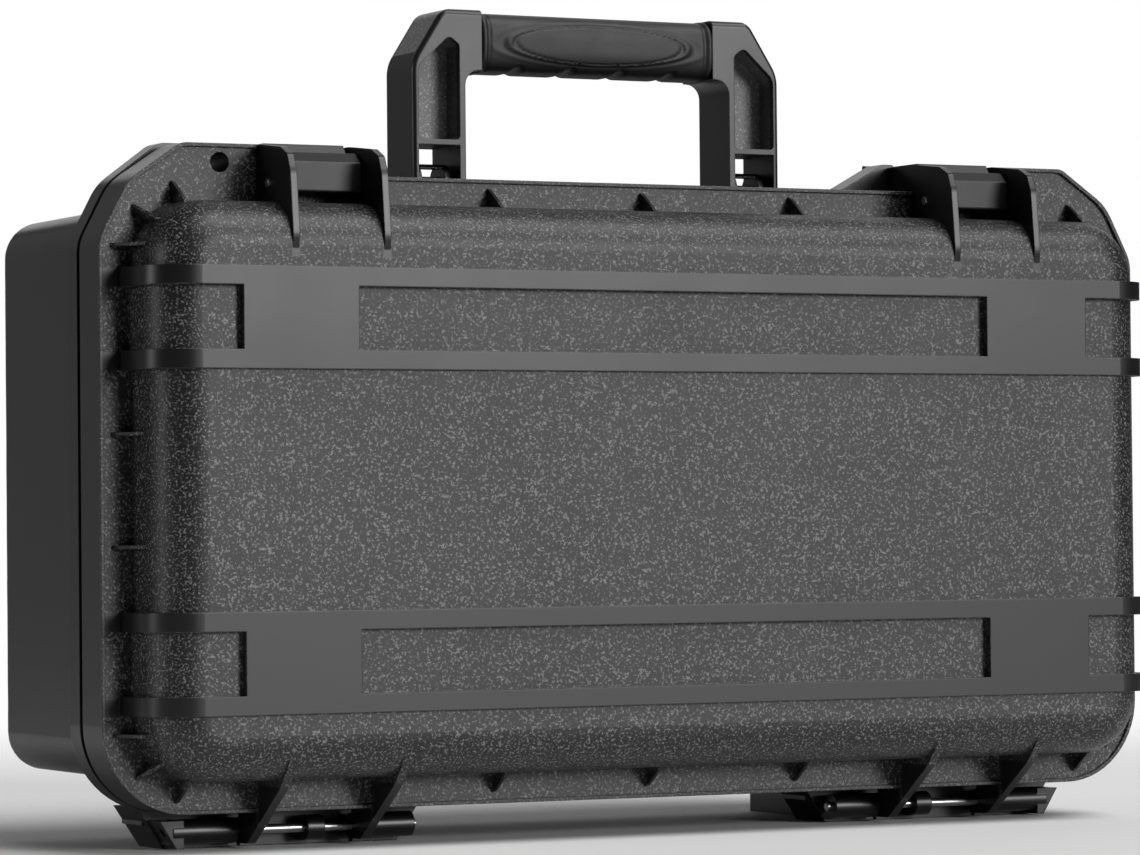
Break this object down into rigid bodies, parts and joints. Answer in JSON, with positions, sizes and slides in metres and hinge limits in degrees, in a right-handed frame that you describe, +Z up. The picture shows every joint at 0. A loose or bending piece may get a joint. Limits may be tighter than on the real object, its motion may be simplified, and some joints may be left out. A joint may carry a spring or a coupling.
{
  "type": "drone carrying case",
  "caption": "Upright hard carrying case for a small drone, with a hinged lid held by latches, a folding handle, a sealed rim and foam cut to hold the kit.",
  "frame": {"origin": "on the floor, under the middle of the whole case as it stands on its hinge side", "axes": "+X along the case's width to the right seen from the lid, +Y from the lid's front to the base's back, +Z up towards the handle"},
  "size_m": [0.52, 0.185, 0.3665],
  "materials": {
    "case_plastic": "textured and satin moulded",
    "latch_plastic": "satin moulded",
    "handle_plastic": "satin moulded",
    "grip_rubber": "smooth rubber",
    "seal_rubber": "matt rubber",
    "foam": "cut closed-cell foam",
    "steel": "bright drawn steel"
  },
  "bodies": {
    "base": {"base_shell": "case_plastic", "base_foam_tray": "foam", "base_foam_pad": "foam", "hinge_pin_left": "steel", "hinge_pin_right": "steel", "valve_body": "latch_plastic", "valve_cap": "latch_plastic", "valve_seal": "seal_rubber", "valve_nut": "latch_plastic"},
    "lid": {"lid_shell": "case_plastic", "lid_seal": "seal_rubber", "lid_foam": "foam", "latch_pin_left": "steel", "latch_pin_right": "steel"},
    "latch_left": {"latch_lever_left": "latch_plastic"},
    "latch_right": {"latch_lever_right": "latch_plastic"},
    "handle": {"handle_frame": "handle_plastic", "handle_grip": "grip_rubber", "handle_pin_left": "steel", "handle_pin_right": "steel"}
  },
  "joints": [
    {"name": "lid_hinge", "type": "hinge", "parent": "base", "child": "lid", "pos_m": [0, -0.0343, 0.0075], "axis": [1, 0, 0], "range_deg": [0, 95]},
    {"name": "latch_left_pivot", "type": "hinge", "parent": "lid", "child": "latch_left", "pos_m": [-0.1639, -0.066, 0.2828], "axis": [1, 0, 0], "range_deg": [0, 95]},
    {"name": "latch_right_pivot", "type": "hinge", "parent": "lid", "child": "latch_right", "pos_m": [0.1639, -0.066, 0.2828], "axis": [1, 0, 0], "range_deg": [0, 95]},
    {"name": "handle_pivot", "type": "hinge", "parent": "base", "child": "handle", "pos_m": [0, -0.0025, 0.29], "axis": [-1, 0, 0], "range_deg": [0, 90]}
  ]
}
